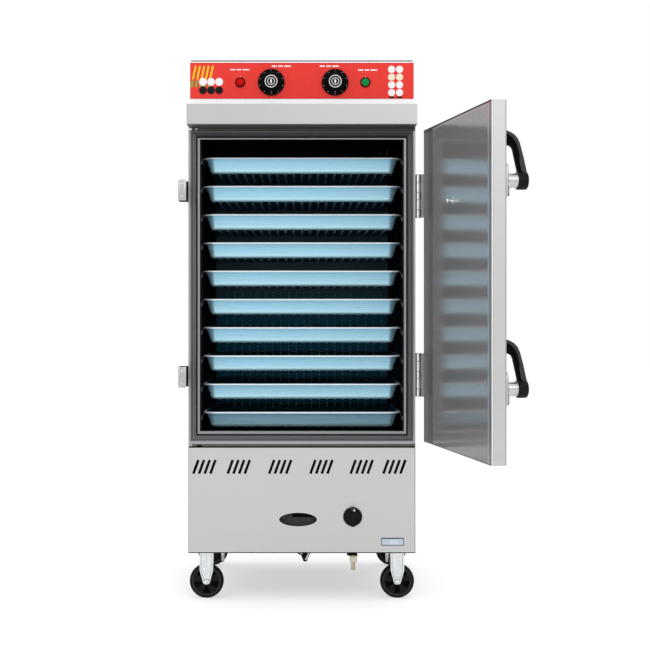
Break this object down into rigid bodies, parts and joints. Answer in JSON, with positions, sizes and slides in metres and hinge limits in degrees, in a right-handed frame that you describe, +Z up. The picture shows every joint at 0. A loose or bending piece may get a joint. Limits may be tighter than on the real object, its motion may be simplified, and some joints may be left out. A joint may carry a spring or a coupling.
{
  "type": "rice steamer cabinet",
  "caption": "Upright stainless steam cabinet on casters for cooking rice in stacked slide-out trays, with a latched door, roof-top controls and a gas-fired or electric water tank below.",
  "frame": {"origin": "on the floor under the middle of the cabinet body's plan", "axes": "+X to the right as seen from the front, +Y to the back, +Z up"},
  "size_m": [0.9452, 1.3142, 1.6275],
  "materials": {
    "stainless": "brushed",
    "dark_stainless": "dull",
    "zinc": "zinc plated",
    "brass": "machined",
    "tray_blue": "satin with blue film",
    "fascia_red": "satin",
    "lamp_red": "glossy",
    "lamp_green": "glossy",
    "black_plastic": "glossy",
    "gasket_rubber": "matt",
    "tyre": "matt",
    "mineral_wool": "matt"
  },
  "bodies": {
    "cabinet": {"outer_shell": "stainless", "top_hood": "stainless", "base_pan": "dark_stainless", "base_front_panel": "stainless", "front_frame": "stainless", "frame_gasket": "gasket_rubber", "chamber_liner": "dark_stainless", "chamber_insulation": "mineral_wool", "control_box": "stainless", "control_panel": "fascia_red", "power_lamp": "lamp_red", "heating_lamp": "lamp_green", "control_chassis": "dark_stainless", "water_tank": "dark_stainless", "heating_element": "dark_stainless", "gas_burner": "dark_stainless", "gas_valve": "brass", "gas_inlet": "brass", "drain_valve": "dark_stainless", "rack_left": "stainless", "rack_right": "stainless", "hinge_frame_leaf_upper": "stainless", "hinge_frame_leaf_lower": "stainless", "keeper_upper": "stainless", "keeper_lower": "stainless", "front_fork_left": "zinc", "front_fork_right": "zinc", "rear_plate_left": "zinc", "rear_plate_right": "zinc"},
    "door": {"door_outer_shell": "stainless", "door_inner_panel": "stainless", "door_insulation": "mineral_wool", "hinge_door_leaf_upper": "stainless", "hinge_door_leaf_lower": "stainless", "latch_base_upper": "zinc", "latch_base_lower": "zinc"},
    "latch_upper": {"latch_cam_upper": "zinc", "latch_lever_upper": "black_plastic"},
    "latch_lower": {"latch_cam_lower": "zinc", "latch_lever_lower": "black_plastic"},
    "tray_01": {"tray_01": "tray_blue"},
    "tray_02": {"tray_02": "tray_blue"},
    "tray_03": {"tray_03": "tray_blue"},
    "tray_04": {"tray_04": "tray_blue"},
    "tray_05": {"tray_05": "tray_blue"},
    "tray_06": {"tray_06": "tray_blue"},
    "tray_07": {"tray_07": "tray_blue"},
    "tray_08": {"tray_08": "tray_blue"},
    "tray_09": {"tray_09": "tray_blue"},
    "tray_10": {"tray_10": "tray_blue"},
    "temperature_dial": {"temperature_dial": "black_plastic"},
    "timer_dial": {"timer_dial": "black_plastic"},
    "gas_knob": {"gas_knob": "black_plastic"},
    "drain_lever": {"drain_lever": "black_plastic"},
    "wheel_front_left": {"wheel_front_left": "tyre"},
    "rear_swivel_left": {"rear_fork_left": "zinc"},
    "wheel_rear_left": {"wheel_rear_left": "tyre"},
    "wheel_front_right": {"wheel_front_right": "tyre"},
    "rear_swivel_right": {"rear_fork_right": "zinc"},
    "wheel_rear_right": {"wheel_rear_right": "tyre"}
  },
  "joints": [
    {"name": "door_hinge", "type": "hinge", "parent": "cabinet", "child": "door", "pos_m": [0.3485, -0.3195, 0.944], "axis": [0, 0, 1], "range_deg": [-100, 80]},
    {"name": "latch_turn_upper", "type": "hinge", "parent": "door", "child": "latch_upper", "pos_m": [0.51539, -0.96076, 1.20344], "axis": [0.9848, 0.1736, 0], "range_deg": [-90, 0]},
    {"name": "latch_turn_lower", "type": "hinge", "parent": "door", "child": "latch_lower", "pos_m": [0.51539, -0.96076, 0.67102], "axis": [0.9848, 0.1736, 0], "range_deg": [-90, 0]},
    {"name": "tray_01_slide", "type": "slide", "parent": "cabinet", "child": "tray_01", "axis": [0, -1, 0], "range_m": [0, 0.38]},
    {"name": "tray_02_slide", "type": "slide", "parent": "cabinet", "child": "tray_02", "axis": [0, -1, 0], "range_m": [0, 0.38]},
    {"name": "tray_03_slide", "type": "slide", "parent": "cabinet", "child": "tray_03", "axis": [0, -1, 0], "range_m": [0, 0.38]},
    {"name": "tray_04_slide", "type": "slide", "parent": "cabinet", "child": "tray_04", "axis": [0, -1, 0], "range_m": [0, 0.38]},
    {"name": "tray_05_slide", "type": "slide", "parent": "cabinet", "child": "tray_05", "axis": [0, -1, 0], "range_m": [0, 0.38]},
    {"name": "tray_06_slide", "type": "slide", "parent": "cabinet", "child": "tray_06", "axis": [0, -1, 0], "range_m": [0, 0.38]},
    {"name": "tray_07_slide", "type": "slide", "parent": "cabinet", "child": "tray_07", "axis": [0, -1, 0], "range_m": [0, 0.38]},
    {"name": "tray_08_slide", "type": "slide", "parent": "cabinet", "child": "tray_08", "axis": [0, -1, 0], "range_m": [0, 0.38]},
    {"name": "tray_09_slide", "type": "slide", "parent": "cabinet", "child": "tray_09", "axis": [0, -1, 0], "range_m": [0, 0.38]},
    {"name": "tray_10_slide", "type": "slide", "parent": "cabinet", "child": "tray_10", "axis": [0, -1, 0], "range_m": [0, 0.38]},
    {"name": "temperature_dial_turn", "type": "hinge", "parent": "cabinet", "child": "temperature_dial", "pos_m": [-0.093, -0.2713, 1.5605], "axis": [0, -1, 0], "range_deg": [-270, 0]},
    {"name": "timer_dial_turn", "type": "hinge", "parent": "cabinet", "child": "timer_dial", "pos_m": [0.1006, -0.2713, 1.5605], "axis": [0, -1, 0], "range_deg": [-300, 0]},
    {"name": "gas_knob_turn", "type": "hinge", "parent": "cabinet", "child": "gas_knob", "pos_m": [0.152, -0.3253, 0.252], "axis": [0, -1, 0], "range_deg": [0, 90]},
    {"name": "drain_lever_turn", "type": "hinge", "parent": "cabinet", "child": "drain_lever", "pos_m": [-0.0013, -0.24, 0.142], "axis": [-1, 0, 0], "range_deg": [0, 90]},
    {"name": "wheel_front_left_roll", "type": "hinge", "parent": "cabinet", "child": "wheel_front_left", "pos_m": [-0.288, -0.275, 0.0515], "axis": [0, 1, 0], "continuous": true},
    {"name": "rear_swivel_left_turn", "type": "hinge", "parent": "cabinet", "child": "rear_swivel_left", "pos_m": [-0.27, 0.275, 0.15], "axis": [0, 0, 1], "continuous": true},
    {"name": "wheel_rear_left_roll", "type": "hinge", "parent": "rear_swivel_left", "child": "wheel_rear_left", "pos_m": [-0.303, 0.275, 0.0515], "axis": [0, 1, 0], "continuous": true},
    {"name": "wheel_front_right_roll", "type": "hinge", "parent": "cabinet", "child": "wheel_front_right", "pos_m": [0.288, -0.275, 0.0515], "axis": [0, 1, 0], "continuous": true},
    {"name": "rear_swivel_right_turn", "type": "hinge", "parent": "cabinet", "child": "rear_swivel_right", "pos_m": [0.27, 0.275, 0.15], "axis": [0, 0, 1], "continuous": true},
    {"name": "wheel_rear_right_roll", "type": "hinge", "parent": "rear_swivel_right", "child": "wheel_rear_right", "pos_m": [0.303, 0.275, 0.0515], "axis": [0, 1, 0], "continuous": true}
  ]
}
